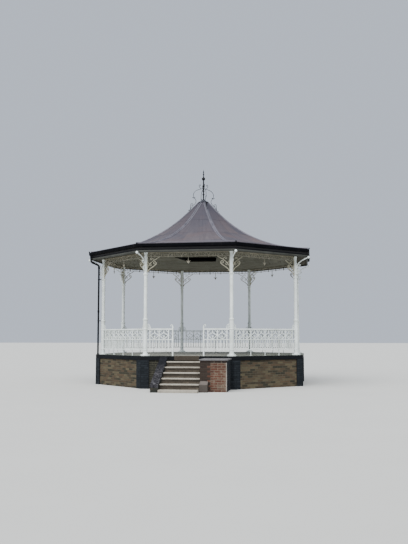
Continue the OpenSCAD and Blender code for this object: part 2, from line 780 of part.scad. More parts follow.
// The same band as an upright plank along the hip, kept below the slopes on both sides
module hip_plank(r1, r2, low, high, width, spread = 0) {
    rotate([90, 0, 90])
        linear_extrude(width, center = true)
            polygon([for (p = hip_band(r1 + spread, r2 + spread, low, high)) [spread - p[0], p[1]]]);
}

module roof_covering() {
    outline = hip_band(cap_radius, eave_radius, -roof_thickness, 0, cos(half_angle));
    color("#7d7882") above_floor()
        for (k = [0:7]) on_side(k) moulded_length(outline);
}
module hip_rolls() {
    color("#93909a") above_floor()
        for (k = [0:7]) rotate([0, 0, 45 * k + half_angle])
            hip_plank(hip_start, eave_radius, fit, roll_height, roll_width);
}
module hip_rafters() {
    color("#8a7a66") above_floor()
        for (k = [0:7]) rotate([0, 0, 45 * k + half_angle])
            hip_plank(hip_start, column_radius, -roof_thickness - rafter_depth,
                      -roof_thickness - fit, rafter_width, rafter_width / 2 * tan(half_angle));
}
module roof_cap() {
    brim = cap_radius + 15;
    plug = cap_radius - 50;
    size = [brim, cap_rise];
    color("#6f6b75") above_floor()
        translate([0, 0, hip_top + fit])
            rotate_extrude($fn = 48)
                polygon([for (p = [[0, -0.45], [plug / brim, -0.45], [plug / brim, 0], [1, 0], [1, 0.2],
                                   [0.88, 0.32], [0.54, 0.58], [0.34, 0.84], [0.29, 1], [0, 1]])
                    sized(size, p)]);
}

// Finial: its rings, ball and spear are placed from the ball
stem_rings = [[611, 20, 52], [478, 18, 44], [277, 22, 60]]; // below the ball, out, depth
stem_top = 83; // below the ball
spear_ring = [172, 16, 26]; // above the ball, out, depth
spear_edges = [131, 81, 31]; // below the tip
stem_foot = [27, 16, 30, 44]; // out, then its heights
scroll_spring = 380; // below the ball
module finial() {
    base = hip_top + 2 * fit + cap_rise;
    stem = stem_d / 2;
    ball = ball_d / 2;
    tip = ball_height + spear_length;
    color("#1d1f24") above_floor()
        rotate_extrude($fn = 40)
            polygon(concat([[0, base], [stem + stem_foot[0], base],
                            [stem + stem_foot[0], base + stem_foot[1]],
                            [stem + 6, base + stem_foot[2]], [stem, base + stem_foot[3]]],
                           [for (r = stem_rings) each ring_at(stem, ball_height - r[0], r[1], r[2])],
                           [[stem, ball_height - ball - stem_top], [stem - 3, ball_height - ball - 16]],
                           [for (a = [-70:20:70]) [ball * cos(a), ball_height + ball * sin(a)]],
                           [[stem - 6, ball_height + ball + 12]],
                           ring_at(stem - 7, ball_height + spear_ring[0], spear_ring[1], spear_ring[2]),
                           [[stem - 8, tip - spear_edges[0]], [stem - 3, tip - spear_edges[1]],
                            [6, tip - spear_edges[2]], [2, tip], [0, tip]]));
}
// Scroll that leaves the stem, swells to a shoulder and stands on a hip between two curls
module finial_scroll() {
    bar = scroll_thickness + 1;
    foot_r = 17;
    foot = [scroll_foot, hip_height(scroll_foot) + roll_height + foot_r / cos(top_pitch) + 2 * fit];
    start = [stem_d / 2 + fit, ball_height - scroll_spring];
    size = [scroll_shoulder, start[1] - foot[1]];
    shoulder = foot + sized(size, [0, 0.68]) - [scroll_foot - scroll_shoulder, 0];
    waist = sized(size, [0.74, 0]) + [0, foot[1] + 0.38 * size[1]];
    upright(scroll_thickness) {
        bent_bar(concat(
            curve(start, start + sized(size, [0.33, -0.04]),
                  shoulder + sized(size, [0, 0.23]), shoulder, 8),
            [for (i = [1:6]) curve(shoulder, shoulder - sized(size, [0, 0.16]),
                                   waist + sized(size, [-0.03, 0.12]), waist, 6)[i]],
            [for (i = [1:6]) curve(waist, waist + sized(size, [0.02, -0.13]),
                                   foot + sized(size, [-0.23, 0.24]), foot, 6)[i]]), bar, bar);
        translate([0, start[1]])
            scroll_within(size, [[0.17, -0.02], [0.3, 0], [0.43, 0.04], [0.43, 0.14]],
                          5, 0.09, 0.04, 280, 10, bar - 1, bar - 3);
        translate(foot) {
            circle(r = foot_r, $fn = 20);
            scroll_within(size, [[-0.03, 0.01], [-0.03, 0.08], [-0.055, 0.15], [-0.055, 0.232]],
                          5, 0.13, 0.055, 340, 14, bar - 1, bar - 4);
            scroll_within(size, [[0, 0], [0.03, -0.014], [0.06, -0.029], [0.09, -0.045]],
                          2, 0.045, 0.025, 300, 9, bar - 2, bar - 5);
        }
        translate(shoulder - sized(size, [0.06, 0.11]))
            polygon([for (p = [[-0.14, 0.02], [0, -0.02], [0.185, 0.02],
                               [0.135, -0.02], [0, -0.045], [-0.09, -0.02]])
                sized(size, p)]);
    }
}
module finial_scrolls() {
    color("#1d1f24") above_floor()
        for (k = [0:3]) rotate([0, 0, 90 * k + half_angle - 90]) finial_scroll();
}

// Rainwater pipe beside the left front column, with a swan neck under the gutter
socket = 8;
socket_height = 70;
strap_height = 30;
strap_thickness = 6;
module elbow() {
    rotate([90, 0, 0])
        rotate_extrude(angle = pipe_lean, $fn = 48)
            translate([pipe_bend, 0]) circle(d = pipe_d, $fn = 32);
}
module pipe_length(h) {
    collar = min(h - 2 * fit, socket_height);
    translate([0, 0, fit]) cylinder(h = h - 2 * fit, d = pipe_d, $fn = 32);
    translate([0, 0, h - fit - collar]) cylinder(h = collar, d = pipe_d + 2 * socket, $fn = 32);
}
// Strap round the pipe with a tail back to a collar of the column
module pipe_strap() {
    hole = pipe_d / 2 + fit;
    away = norm([pipe_out, pipe_aside]);
    rotate([0, 0, atan2(pipe_aside, pipe_out)])
        linear_extrude(strap_height, center = true)
            difference() {
                union() {
                    translate([away, 0]) circle(r = hole + strap_thickness, $fn = 32);
                    translate([collar_d / 2 + fit, -strap_thickness])
                        square([away - collar_d / 2 - hole, 2 * strap_thickness]);
                }
                translate([away, 0]) circle(r = hole, $fn = 32);
            }
}
module rainwater_pipe() {
    bend_out = pipe_bend * (1 - cos(pipe_lean));
    bend_rise = pipe_bend * sin(pipe_lean);
    neck_top = gutter_top - gutter_height - outlet_drop;
    slant = (pipe_outlet - pipe_out - 2 * bend_out) / sin(pipe_lean);
    neck_low = neck_top - 2 * bend_rise - slant * cos(pipe_lean);
    color("#2a2c33") above_floor()
        at_column(6) rotate([0, 0, -90]) {
            for (z = [lower_collar, upper_collar]) translate([0, 0, z]) pipe_strap();
            translate([pipe_out, pipe_aside, 0]) {
                pipe_length(neck_low / 2);
                translate([0, 0, neck_low / 2]) pipe_length(neck_low / 2);
                translate([pipe_bend, 0, neck_low]) mirror([1, 0, 0]) elbow();
                translate([bend_out, 0, neck_low + bend_rise]) rotate([0, pipe_lean, 0]) pipe_length(slant);
            }
            translate([pipe_outlet, pipe_aside, neck_top]) {
                translate([-pipe_bend, 0, 0]) mirror([0, 0, 1]) elbow();
                pipe_length(outlet_drop);
            }
        }
}

hardcore_fill();
plinth_walls();
corner_piers();
platform_edge();
platform_floor();
stair_base();
step_treads();
left_cheek_wall();
left_cheek_coping();
right_block();
right_block_coping();
right_stub_stone();
column_at(7);  // column_front_left
column_at(0);  // column_front_right
column_at(1);  // column_right_front
column_at(2);  // column_right_back
column_at(3);  // column_back_right
column_at(4);  // column_back_left
column_at(5);  // column_left_back
column_at(6);  // column_left_front
entrance_railings();
railing_bay(1);  // railing_front_right_bay
railing_bay(2);  // railing_right_bay
railing_bay(3);  // railing_back_right_bay
railing_bay(4);  // railing_back_bay
railing_bay(5);  // railing_back_left_bay
railing_bay(6);  // railing_left_bay
railing_bay(7);  // railing_front_left_bay
spandrel_brackets();
eaves_brackets();
frieze_panels();
eaves_beam();
ceiling_boards();
ceiling_frame();
fascia_board();
fascia_moulding();
gutter();
gutter_knobs();
hip_rafters();
roof_covering();
hip_rolls();
roof_cap();
finial();
finial_scrolls();
rainwater_pipe();
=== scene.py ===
import math
import random

import bpy
from mathutils import Matrix, Vector


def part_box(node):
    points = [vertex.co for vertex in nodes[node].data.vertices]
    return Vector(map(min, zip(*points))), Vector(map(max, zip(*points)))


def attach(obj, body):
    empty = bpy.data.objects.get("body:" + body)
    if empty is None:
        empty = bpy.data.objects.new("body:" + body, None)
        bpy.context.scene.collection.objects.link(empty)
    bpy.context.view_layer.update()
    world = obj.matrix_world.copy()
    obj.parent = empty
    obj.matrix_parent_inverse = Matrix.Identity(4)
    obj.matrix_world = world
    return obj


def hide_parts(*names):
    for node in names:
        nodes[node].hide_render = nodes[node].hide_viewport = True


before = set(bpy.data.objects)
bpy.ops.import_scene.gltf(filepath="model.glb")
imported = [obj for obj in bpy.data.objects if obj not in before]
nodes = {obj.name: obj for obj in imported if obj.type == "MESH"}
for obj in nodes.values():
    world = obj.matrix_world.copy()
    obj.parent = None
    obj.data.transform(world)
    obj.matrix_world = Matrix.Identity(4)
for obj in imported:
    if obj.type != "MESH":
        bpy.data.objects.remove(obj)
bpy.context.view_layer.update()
print("frame loaded:", len(nodes), "nodes")

# Sizes that the scene reads off the frame, in metres
halfAngle = math.pi / 8  # the octagon's flats face the four compass sides
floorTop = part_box("platform_floor")[1].z
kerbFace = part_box("platform_edge")[1].x
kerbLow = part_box("platform_edge")[0].z
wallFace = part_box("plinth_walls")[1].x
columnLine = (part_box("railing_right_bay")[0].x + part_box("railing_right_bay")[1].x) / 2
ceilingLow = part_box("ceiling_boards")[0].z
hatchLow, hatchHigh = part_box("ceiling_frame")
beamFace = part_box("eaves_beam")[1].x
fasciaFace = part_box("fascia_board")[1].x
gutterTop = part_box("gutter")[1].z
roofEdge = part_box("roof_covering")[1].x
blockLow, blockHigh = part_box("right_block")


# Making and finishing pieces

def deselect():
    if bpy.context.object and bpy.context.object.mode != "OBJECT":
        bpy.ops.object.mode_set(mode="OBJECT")
    bpy.ops.object.select_all(action="DESELECT")


def makeActive(piece):
    deselect()
    piece.select_set(True)
    bpy.context.view_layer.objects.active = piece


def settle(piece):
    makeActive(piece)
    bpy.ops.object.transform_apply(location=True, rotation=True, scale=True)


def runModifier(piece, kind, **settings):
    makeActive(piece)
    modifier = piece.modifiers.new(kind.title(), kind)
    for key, value in settings.items():
        setattr(modifier, key, value)
    bpy.ops.object.modifier_apply(modifier=modifier.name)


def addBlock(name, low, high):
    deselect()
    low, high = Vector(low), Vector(high)
    bpy.ops.mesh.primitive_cube_add(size=1, location=(low + high) / 2)
    piece = bpy.context.object
    piece.name = name
    piece.scale = high - low
    settle(piece)
    return piece


def addRound(name, radius, low, high, sides=24):
    deselect()
    bpy.ops.mesh.primitive_cylinder_add(vertices=sides, radius=radius, depth=high - low,
                                        location=(0, 0, (high + low) / 2))
    piece = bpy.context.object
    piece.name = name
    settle(piece)
    return piece


def sliceOff(piece, point, normal, fill=True):
    # cuts away what lies on the normal's side of the plane
    makeActive(piece)
    bpy.ops.object.mode_set(mode="EDIT")
    bpy.ops.mesh.select_all(action="SELECT")
    bpy.ops.mesh.bisect(plane_co=point, plane_no=normal, use_fill=fill, clear_outer=True)
    bpy.ops.object.mode_set(mode="OBJECT")


def mitreEnds(piece, gap, fill=True):
    # trims a length on the front side to the two corner lines, less half a joint
    for side in (-1, 1):
        normal = Vector((side * math.cos(halfAngle), math.sin(halfAngle), 0))
        sliceOff(piece, normal * -gap, normal, fill)


def subdivideAll(piece, cuts):
    makeActive(piece)
    bpy.ops.object.mode_set(mode="EDIT")
    bpy.ops.mesh.select_all(action="SELECT")
    bpy.ops.mesh.subdivide(number_cuts=cuts)
    bpy.ops.object.mode_set(mode="OBJECT")


def copyPiece(piece, matrix):
    twin = piece.copy()
    twin.data = piece.data.copy()
    bpy.context.collection.objects.link(twin)
    twin.data.transform(matrix)
    if matrix.determinant() < 0:
        twin.data.flip_normals()
    return twin


def joinPieces(pieces, name):
    deselect()
    for piece in pieces:
        piece.select_set(True)
    bpy.context.view_layer.objects.active = pieces[0]
    bpy.ops.object.join()
    joined = bpy.context.object
    joined.name = name
    return joined


def turned(steps):
    return Matrix.Rotation(2 * halfAngle * steps, 4, "Z")


def aroundSides(piece, name):
    return joinPieces([piece] + [copyPiece(piece, turned(k)) for k in range(1, 8)], name)


def smoothFaces(piece, degrees):
    makeActive(piece)
    bpy.ops.object.shade_smooth_by_angle(angle=math.radians(degrees))


def setTone(piece, tone):
    # one number for the whole brick or board, which its material turns into a colour
    layer = piece.data.attributes.get("tone") or piece.data.attributes.new("tone", "FLOAT", "POINT")
    layer.data.foreach_set("value", [tone] * len(piece.data.vertices))


def finishPiece(piece, material, slotName, *replaced):
    piece.data.materials.clear()
    piece.data.materials.append(material)
    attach(piece, "root")
    if replaced:
        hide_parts(*replaced)
    print("made", piece.name, len(piece.data.polygons), "faces")
    return piece


# Materials: each is a base colour broken up by noise, with dirt, wear and a bump

def linear(red, green, blue):
    # from the 0 to 255 values of a paint card to the linear values that the shader takes
    return tuple(v / 12.92 if v <= 0.04045 else ((v + 0.055) / 1.055) ** 2.4
                 for v in (red / 255, green / 255, blue / 255)) + (1.0,)


class Recipe:
    # a material under construction, with short ways to add its nodes
    def __init__(self, name, roughness=0.6, metallic=0.0, specular=0.5):
        self.material = bpy.data.materials.new(name)
        self.material.use_nodes = True
        self.tree = self.material.node_tree
        self.shader = self.tree.nodes["Principled BSDF"]
        self.shader.inputs["Roughness"].default_value = roughness
        self.shader.inputs["Metallic"].default_value = metallic
        self.shader.inputs["Specular IOR Level"].default_value = specular
        self.coords = self.add("ShaderNodeTexCoord").outputs["Object"]

    def add(self, kind, inputs=None, **settings):
        node = self.tree.nodes.new(kind)
        for key, value in settings.items():
            setattr(node, key, value)
        for key, value in (inputs or {}).items():
            if isinstance(value, bpy.types.NodeSocket):
                self.tree.links.new(value, node.inputs[key])
            else:
                node.inputs[key].default_value = value
        return node

    def stretched(self, x, y, z):
        return self.add("ShaderNodeMapping", {"Vector": self.coords, "Scale": (x, y, z)}).outputs[0]

    def noise(self, scale, detail=4.0, roughness=0.6, coords=None):
        return self.add("ShaderNodeTexNoise", {"Vector": coords or self.coords, "Scale": scale,
                                               "Detail": detail, "Roughness": roughness}).outputs["Fac"]

    def ramp(self, value, *stops):
        node = self.add("ShaderNodeValToRGB", {"Fac": value})
        steps = node.color_ramp.elements
        while len(steps) < len(stops):
            steps.new(0.5)
        for step, (place, colour) in zip(steps, stops):
            step.position = place
            step.color = colour
        return node.outputs["Color"]

    def mask(self, value, low, high):
        return self.add("ShaderNodeMapRange", {"Value": value, "From Min": low, "From Max": high},
                        clamp=True).outputs["Result"]

    def calc(self, operation, first, second=0.0, third=0.0):
        return self.add("ShaderNodeMath", {0: first, 1: second, 2: third}, operation=operation).outputs[0]

    def mix(self, factor, first, second):
        return self.add("ShaderNodeMix", {0: factor, 6: first, 7: second}, data_type="RGBA").outputs[2]

    def parts(self):
        return self.add("ShaderNodeSeparateXYZ", {"Vector": self.coords}).outputs

    def fromAxis(self):
        # how far a point lies from the upright through the apex
        x, y = self.parts()[:2]
        return self.calc("SQRT", self.calc("ADD", self.calc("MULTIPLY", x, x), self.calc("MULTIPLY", y, y)))

    def attribute(self, name):
        return self.add("ShaderNodeAttribute", attribute_name=name).outputs["Fac"]

    def facing(self):
        return self.add("ShaderNodeSeparateXYZ",
                        {"Vector": self.add("ShaderNodeNewGeometry").outputs["Normal"]}).outputs["Z"]

    def finish(self, colour, roughness=None, height=None, strength=0.3, distance=0.004):
        link = self.tree.links.new
        link(colour, self.shader.inputs["Base Color"])
        if roughness is not None:
            link(roughness, self.shader.inputs["Roughness"])
        if height is not None:
            bump = self.add("ShaderNodeBump", {"Height": height, "Strength": strength,
                                               "Distance": distance})
            link(bump.outputs["Normal"], self.shader.inputs["Normal"])
        return self.material


def paintedIron(name, paint, dirt, rustShare, specular=0.5):
    # gloss paint on cast iron: dirt in patches, rust that breaks through in small spots
    make = Recipe(name, specular=specular)
    patches = make.mask(make.noise(2.6, 6, 0.65), 0.42, 0.72)
    colour = make.mix(patches, paint, dirt)
    runs = make.mask(make.noise(9, 3, 0.5, make.stretched(1, 1, 0.12)), 0.55, 0.8)
    colour = make.mix(make.calc("MULTIPLY", runs, 0.35), colour, dirt)
    spots = make.mask(make.noise(38, 5, 0.7), 1 - rustShare, 1 - rustShare + 0.05)
    colour = make.mix(spots, colour, linear(118, 74, 48))
    rough = make.mask(make.noise(16, 4), -0.6, 2.2)
    return make.finish(colour, rough, make.noise(95, 4, 0.6), 0.25, 0.002)


whiteIron = paintedIron("whiteIron", linear(226, 232, 229), linear(196, 202, 194), 0.27)
blackIron = paintedIron("blackIron", linear(11, 12, 15), linear(30, 30, 33), 0.22, 0.15)
capPaint = paintedIron("capPaint", linear(66, 67, 75), linear(16, 16, 20), 0.2, 0.15)
creamIron = paintedIron("creamIron", linear(168, 163, 142), linear(122, 117, 96), 0.28)
# painted shade: the frieze takes a darker copy of the brackets' cream, for its shade under the eaves
shadedFriezeIron = paintedIron("shadedFriezeIron", linear(143, 137, 119), linear(92, 87, 71), 0.28)


def agedBlack(name, gloss, paint, dusty, paintedLightAbove=None):
    # paint with little gloss left, on the gutter, the board behind it and the pipe
    make = Recipe(name, specular=gloss)
    patches = make.mask(make.noise(1.8, 7, 0.7), 0.38, 0.72)
    colour = make.mix(patches, paint, dusty)
    if paintedLightAbove:  # painted light: paler from this height up
        grey = make.mask(make.parts()[2], paintedLightAbove, paintedLightAbove + 0.02)
        colour = make.mix(make.calc("MULTIPLY", grey, 0.85), colour, linear(52, 51, 52))
    drips = make.mask(make.noise(14, 4, 0.6, make.stretched(1, 1, 0.1)), 0.6, 0.78)
    colour = make.mix(drips, colour, linear(38, 34, 33))
    return make.finish(colour, make.mask(make.noise(11, 5), -1.2, 1.4), make.noise(60, 5), 0.2, 0.003)


gutterPaint = agedBlack("gutterPaint", 0.03, linear(5, 6, 9), linear(13, 13, 17))
# the board behind the gutter gets painted light along its upper part
fasciaPaint = agedBlack("fasciaPaint", 0.12, linear(9, 10, 14), linear(22, 22, 27),
                        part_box("fascia_board")[0].z + 0.035)
pipePaint = agedBlack("pipePaint", 0.12, linear(9, 10, 14), linear(22, 22, 27))


def roofFelt():
    # streaks run down from the apex, so the noise is laid out by angle and radius
    make = Recipe("roofFelt", specular=0.15)
    x, y, z = make.parts()
    radius = make.fromAxis()
    angle = make.calc("ARCTAN2", y, x)
    fan = make.add("ShaderNodeCombineXYZ", {"X": make.calc("MULTIPLY", angle, 9.0),
                                            "Y": make.calc("MULTIPLY", radius, 0.55), "Z": 0.0}).outputs[0]
    streaks = make.noise(2.4, 5, 0.62, fan)
    colour = make.ramp(streaks, (0.3, linear(52, 50, 57)), (0.5, linear(70, 67, 73)),
                       (0.72, linear(90, 86, 90)))
    sheet = make.ramp(make.attribute("tone"), (0.0, linear(56, 57, 66)), (0.5, linear(72, 69, 76)),
                      (1.0, linear(94, 82, 80)))
    colour = make.mix(0.45, colour, sheet)
    warm = make.mask(make.noise(0.9, 4, 0.6), 0.48, 0.7)
    colour = make.mix(make.calc("MULTIPLY", warm, 0.5), colour, linear(100, 80, 76))
    tarnish = make.mask(make.noise(3.5, 6, 0.7), 0.6, 0.74)
    colour = make.mix(make.calc("MULTIPLY", tarnish, 0.45), colour, linear(74, 74, 58))
    crown = make.mask(radius, 2.4, 0.3)
    colour = make.mix(make.calc("MULTIPLY", crown, 0.7), colour, linear(44, 46, 57))  # soot at the top
    brim = make.mask(z, gutterTop + 0.32, gutterTop + 0.1)
    colour = make.mix(make.calc("MULTIPLY", brim, 0.5), colour, linear(100, 97, 103))
    grit = make.noise(160, 3, 0.6)
    colour = make.mix(0.2, colour, make.ramp(grit, (0.3, linear(44, 42, 50)), (0.7, linear(104, 98, 102))))
    return make.finish(colour, make.mask(make.noise(6, 4), -3.0, 1.2), grit, 0.35, 0.003)


roofSheet = roofFelt()


def dressedLead():
    make = Recipe("dressedLead", metallic=0.25)
    bloom = make.noise(5, 6, 0.65)
    colour = make.ramp(bloom, (0.3, linear(76, 73, 82)), (0.55, linear(94, 91, 100)),
                       (0.75, linear(114, 110, 118)))
    crown = make.mask(make.fromAxis(), 1.6, 0.3)
    colour = make.mix(make.calc("MULTIPLY", crown, 0.7), colour, linear(54, 55, 64))
    return make.finish(colour, make.mask(bloom, -0.6, 1.8), make.noise(34, 4), 0.3, 0.004)


leadSheet = dressedLead()


def paintedBoards(name, paint, grime, tone=True):
    make = Recipe(name, 0.85, 0, 0.12)
    patches = make.mask(make.noise(1.5, 7, 0.68), 0.36, 0.7)
    colour = make.mix(patches, paint, grime)
    if tone:
        board = make.mask(make.attribute("tone"), 0.0, 1.0)
        colour = make.mix(make.calc("MULTIPLY", board, 0.6), colour, grime)
    grain = make.noise(26, 5)
    colour = make.mix(0.12, colour, make.ramp(grain, (0.3, grime), (0.7, paint)))
    return make.finish(colour, None, grain, 0.3, 0.002)


ceilingPaint = paintedBoards("ceilingPaint", linear(106, 105, 91), linear(72, 70, 58))
# painted shade: the soffit boards outside the beam take a darker copy of the ceiling's paint
shadedSoffitPaint = paintedBoards("shadedSoffitPaint", linear(77, 74, 62), linear(48, 46, 37))
beamPaint = paintedBoards("beamPaint", linear(92, 90, 76), linear(66, 63, 52), False)


def hatchTimber():
    # painted like the beam below, with painted shade: near black on the vertical reveals that look into the
    # roof
    make = Recipe("hatchPaint", 0.85, 0, 0.12)
    paint = make.mix(make.noise(3, 6, 0.68), linear(66, 63, 52), linear(92, 90, 76))
    # painted shade: faces that stand vertical go near black
    shadedReveals = make.mask(make.calc("ABSOLUTE", make.facing()), 0.6, 0.3)
    return make.finish(make.mix(shadedReveals, paint, linear(7, 7, 8)), None, make.noise(26, 5), 0.3, 0.002)


hatchPaint = hatchTimber()
mouldingPaint = paintedBoards("mouldingPaint", linear(77, 78, 74), linear(55, 55, 51), False)
bareTimber = paintedBoards("bareTimber", linear(124, 106, 84), linear(86, 70, 54), False)


def brickFace(name, stops, soot, lime=None):
    # tone picks the brick's colour, noise weathers it
    make = Recipe(name, 0.9, 0, 0.15)
    tone = make.attribute("tone")
    colour = make.ramp(tone, *stops)
    if lime:  # old mortar is smeared over the newer bricks
        newer = make.mask(tone, 0.3, 0.5)
        smears = make.calc("MULTIPLY", make.mask(make.noise(7, 6, 0.7), 0.5, 0.62), newer)
        colour = make.mix(make.calc("MULTIPLY", smears, 0.75), colour, lime)
    stain = make.mask(make.noise(2.2, 7, 0.7), 0.4, 0.75)
    colour = make.mix(make.calc("MULTIPLY", stain, 0.6), colour, soot)
    speck = make.noise(120, 4, 0.7)
    colour = make.mix(0.22, colour, make.ramp(speck, (0.35, soot), (0.7, stops[-1][1])))
    return make.finish(colour, None, speck, 0.5, 0.004)


plinthBrick = brickFace("plinthBrick", [(0.0, linear(27, 29, 29)), (0.3, linear(47, 44, 37)),
                                        (0.65, linear(81, 65, 51)), (1.0, linear(94, 86, 67))],
                        linear(33, 36, 31))
redBrick = brickFace("redBrick", [(0.0, linear(24, 23, 23)), (0.3, linear(42, 37, 33)),
                                  (0.6, linear(86, 51, 39)), (0.8, linear(88, 60, 48)),
                                  (1.0, linear(98, 74, 62))],
                     linear(40, 36, 33), linear(112, 102, 88))
cheekBrick = brickFace("cheekBrick", [(0.0, linear(34, 38, 34)), (0.5, linear(44, 46, 42)),
                                      (1.0, linear(60, 56, 48))], linear(30, 32, 29))
riserBrick = brickFace("riserBrick", [(0.0, linear(34, 31, 27)), (0.5, linear(66, 60, 52)),
                                      (1.0, linear(94, 86, 75))], linear(40, 37, 33))
tarredBrick = brickFace("tarredBrick", [(0.0, linear(23, 27, 30)), (1.0, linear(38, 42, 46))],
                        linear(18, 21, 24))


def mortarBed(name, bed, stained, darkFrom=None, limeFrom=None):
    make = Recipe(name, 0.92, 0, 0.15)
    colour = make.mix(make.mask(make.noise(3.4, 7, 0.7), 0.35, 0.7), bed, stained)
    if limeFrom:  # fresher and paler to the right of this line
        pale = make.mix(make.noise(9, 6, 0.7), linear(84, 78, 68), linear(140, 130, 114))
        colour = make.mix(make.mask(make.parts()[0], limeFrom, limeFrom + 0.06), colour, pale)
    if darkFrom:  # near black to the right of this line
        darkened = make.mask(make.parts()[0], darkFrom, darkFrom + 0.002)
        colour = make.mix(darkened, colour, linear(17, 19, 24))
    return make.finish(colour, None, make.noise(140, 4, 0.7), 0.5, 0.003)


# the block right of the steps: lengths run from its left, tones go from dark old to pale new bricks
blockLook = {"newFrom": 0.31, "paleFrom": 0.62, "darkTop": 0.06, "darkWrap": 0.004,
             "shadeTones": (0.0, 0.05), "oldTones": (0.05, 0.35), "newTones": (0.42, 0.85),
             "paleTones": (0.68, 1.0), "flankTones": (0.1, 0.6)}
greyMortar = mortarBed("greyMortar", linear(90, 88, 75), linear(54, 55, 46))
blockMortar = mortarBed("blockMortar", linear(62, 58, 51), linear(42, 40, 36),
                        blockHigh.x - blockLook["darkWrap"], blockLow.x + blockLook["newFrom"])
paleMortarHighlight = mortarBed("paleMortarHighlight", linear(148, 142, 134), linear(104, 96, 88))
sootyMortar = mortarBed("sootyMortar", linear(44, 44, 41), linear(32, 34, 32))
tarredMortar = mortarBed("tarredMortar", linear(19, 21, 26), linear(14, 15, 20))


def stoneFace(name, pale, dark, worn, shade=0.0):
    make = Recipe(name, 0.8, 0, 0.3)
    cloud = make.noise(4.5, 7, 0.68)
    colour = make.ramp(cloud, (0.3, dark), (0.52, pale), (0.75, worn))
    if shade:  # feet and rain keep the tops paler than the fronts
        colour = make.mix(make.mask(make.facing(), 0.3, 0.8), make.mix(shade, colour, dark), colour)
    speck = make.noise(85, 5, 0.7)
    colour = make.mix(0.2, colour, make.ramp(speck, (0.35, dark), (0.65, worn)))
    height = make.calc("ADD", speck, make.calc("MULTIPLY", cloud, 2.0))
    return make.finish(colour, None, height, 0.45, 0.005)


treadStone = stoneFace("treadStone", linear(156, 150, 138), linear(118, 112, 102), linear(172, 165, 152),
                       0.15)
blockStone = stoneFace("blockStone", linear(96, 94, 95), linear(66, 64, 66), linear(118, 114, 113))
stubStone = stoneFace("stubStone", linear(88, 81, 76), linear(50, 45, 40), linear(104, 96, 90), 0.85)
bareRiser = stoneFace("bareRiser", linear(98, 90, 77), linear(31, 24, 17), linear(112, 104, 92), 0.92)


def weatheredFlank():
    # painted near black at the top of the slope, worn to blotchy grey towards its foot
    make = Recipe("rakingStone", 0.85, 0, 0.15)
    blotches = make.noise(15, 5, 0.7)
    colour = make.ramp(blotches, (0.36, linear(18, 18, 21)), (0.5, linear(36, 35, 38)),
                       (0.64, linear(78, 77, 80)))
    black = make.ramp(blotches, (0.4, linear(9, 10, 14)), (0.65, linear(24, 25, 31)))
    high = make.mask(make.calc("MULTIPLY_ADD", make.noise(4, 5, 0.7), 0.4, make.parts()[2]), 0.75, 1.1)
    colour = make.mix(high, colour, black)
    speck = make.noise(85, 5, 0.7)
    return make.finish(colour, None, make.calc("MULTIPLY_ADD", blotches, 2.5, speck), 0.6, 0.006)


rakingStone = weatheredFlank()


def concreteFloor():
    make = Recipe("concreteFloor", 0.78, 0, 0.35)
    broad = make.noise(0.8, 6, 0.65)
    colour = make.ramp(broad, (0.3, linear(112, 112, 100)), (0.55, linear(133, 132, 121)),
                       (0.75, linear(150, 148, 137)))
    damp = make.mask(make.noise(2.4, 7, 0.7), 0.55, 0.7)
    colour = make.mix(make.calc("MULTIPLY", damp, 0.45), colour, linear(96, 100, 90))
    darkerRight = make.mask(make.parts()[0], 0.6, 1.6)  # darker and greener towards the right
    colour = make.mix(make.calc("MULTIPLY", darkerRight, 0.6), colour, linear(88, 92, 78))
    grit = make.noise(110, 4, 0.7)
    grains = make.ramp(grit, (0.35, linear(90, 92, 84)), (0.7, linear(176, 178, 168)))
    return make.finish(make.mix(0.15, colour, grains), None, grit, 0.35, 0.003)


floorConcrete = concreteFloor()


def kerbPaint():
    # black on the outer face, worn away to bare concrete on top
    make = Recipe("kerbPaint", 0.7, 0, 0.15)
    black = make.mix(make.mask(make.noise(3, 6, 0.7), 0.4, 0.7), linear(4, 6, 10), linear(12, 14, 19))
    ragged = make.calc("MULTIPLY", make.noise(7, 6, 0.7), 0.5)
    worn = make.mask(make.calc("ADD", make.facing(), ragged), 0.9, 1.1)
    bare = make.mix(make.noise(2.5, 6, 0.7), linear(96, 100, 92), linear(120, 123, 114))
    return make.finish(make.mix(worn, black, bare), None, make.noise(70, 5, 0.65), 0.3, 0.003)


blackKerb = kerbPaint()

finishes = {
    "hardcore_fill": sootyMortar, "plinth_walls": greyMortar, "corner_piers": tarredMortar,
    "platform_edge": blackKerb, "platform_floor": floorConcrete, "stair_base": bareRiser,
    "left_cheek_wall": sootyMortar, "right_block": blockMortar, "spandrel_brackets": creamIron,
    "eaves_brackets": whiteIron, "frieze_panels": shadedFriezeIron, "eaves_beam": beamPaint,
    "ceiling_boards": beamPaint, "ceiling_frame": hatchPaint, "fascia_board": fasciaPaint,
    "fascia_moulding": mouldingPaint, "gutter": gutterPaint, "gutter_knobs": blackIron,
    "hip_rafters": bareTimber, "roof_covering": roofSheet, "roof_cap": capPaint, "finial": blackIron,
    "finial_scrolls": blackIron, "rainwater_pipe": pipePaint, "entrance_railings": whiteIron,
}
for name, node in nodes.items():
    paint = whiteIron if name.startswith(("column", "railing")) else finishes.get(name)
    if paint:
        node.material_slots[0].material = paint
print("materials set")


# Brickwork: single bricks stand a little proud of the mortar that the frame's walls show

brickwork = {"length": 0.215, "joint": 0.010, "course": 0.0723, "proud": 0.005, "depth": 0.03,
             "edge": 0.004, "jitter": 0.001, "seed": 11, "shortest": 0.035}
brickPitch = brickwork["length"] + brickwork["joint"]
shuffle = random.Random(brickwork["seed"])


def modelBrick():
    halfJoint = brickwork["joint"] / 2
    brick = addBlock("brick", (0, -brickwork["proud"], halfJoint),
                     (brickwork["length"], brickwork["depth"], brickwork["course"] - halfJoint))
    runModifier(brick, "BEVEL", width=brickwork["edge"], segments=1)
    return brick


